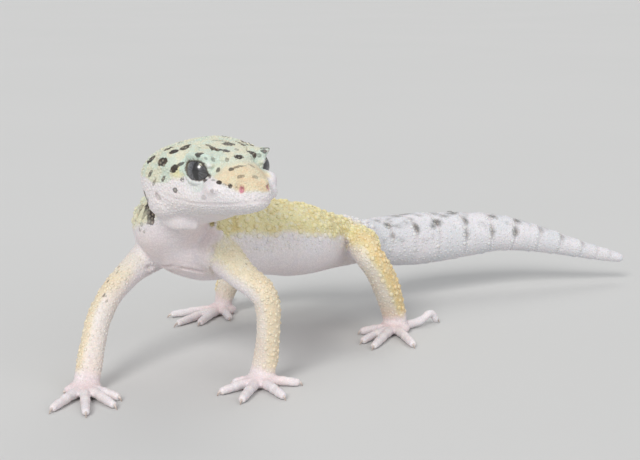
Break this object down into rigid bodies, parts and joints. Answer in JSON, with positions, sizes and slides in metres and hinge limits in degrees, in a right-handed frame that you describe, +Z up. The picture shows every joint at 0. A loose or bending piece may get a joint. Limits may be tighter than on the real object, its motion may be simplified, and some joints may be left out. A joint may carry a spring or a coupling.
{
  "type": "leopard gecko model",
  "caption": "Life-size leopard gecko standing on four feet, forequarters raised, head turned to its left, thick tail held just off the floor.",
  "frame": {"origin": "middle of the bounding box, at floor level under the soles", "axes": "+Z up from the floor; the body faces -Y, with its left side toward +X; the head is turned toward +X and the tail runs back along +Y and curves toward +X"},
  "size_m": [0.0741, 0.1746, 0.0525],
  "materials": {
    "head_skin": "fine granular scales, pale cream-yellow with dark brown spots, white lips and chin, satin",
    "neck_skin": "fine scales with low yellow tubercles and dark blotches, satin",
    "trunk_skin": "yellow back with raised cream tubercles, white flanks and belly, satin",
    "tail_skin": "ringed, white to pale grey with dark grey-brown spots on the upper half, satin",
    "limb_skin": "pinkish white with a yellow tubercled band on the outer side, satin",
    "hand_skin": "pinkish white, smooth, slightly translucent at the toes",
    "eye": "dark silver-grey iris with a black vertical slit pupil under a clear wet cornea"
  },
  "bodies": {
    "root": {"head": "head_skin", "eye_left": "eye", "eye_right": "eye", "neck": "neck_skin", "trunk_front": "trunk_skin", "trunk_rear": "trunk_skin", "tail_base": "tail_skin", "tail_middle": "tail_skin", "tail_tip": "tail_skin", "arm_left_upper": "limb_skin", "arm_left_lower": "limb_skin", "hand_left": "hand_skin", "arm_right_upper": "limb_skin", "arm_right_lower": "limb_skin", "hand_right": "hand_skin", "leg_left_upper": "limb_skin", "leg_left_lower": "limb_skin", "foot_left": "hand_skin", "leg_right_upper": "limb_skin", "leg_right_lower": "limb_skin", "foot_right": "hand_skin"}
  },
  "joints": []
}
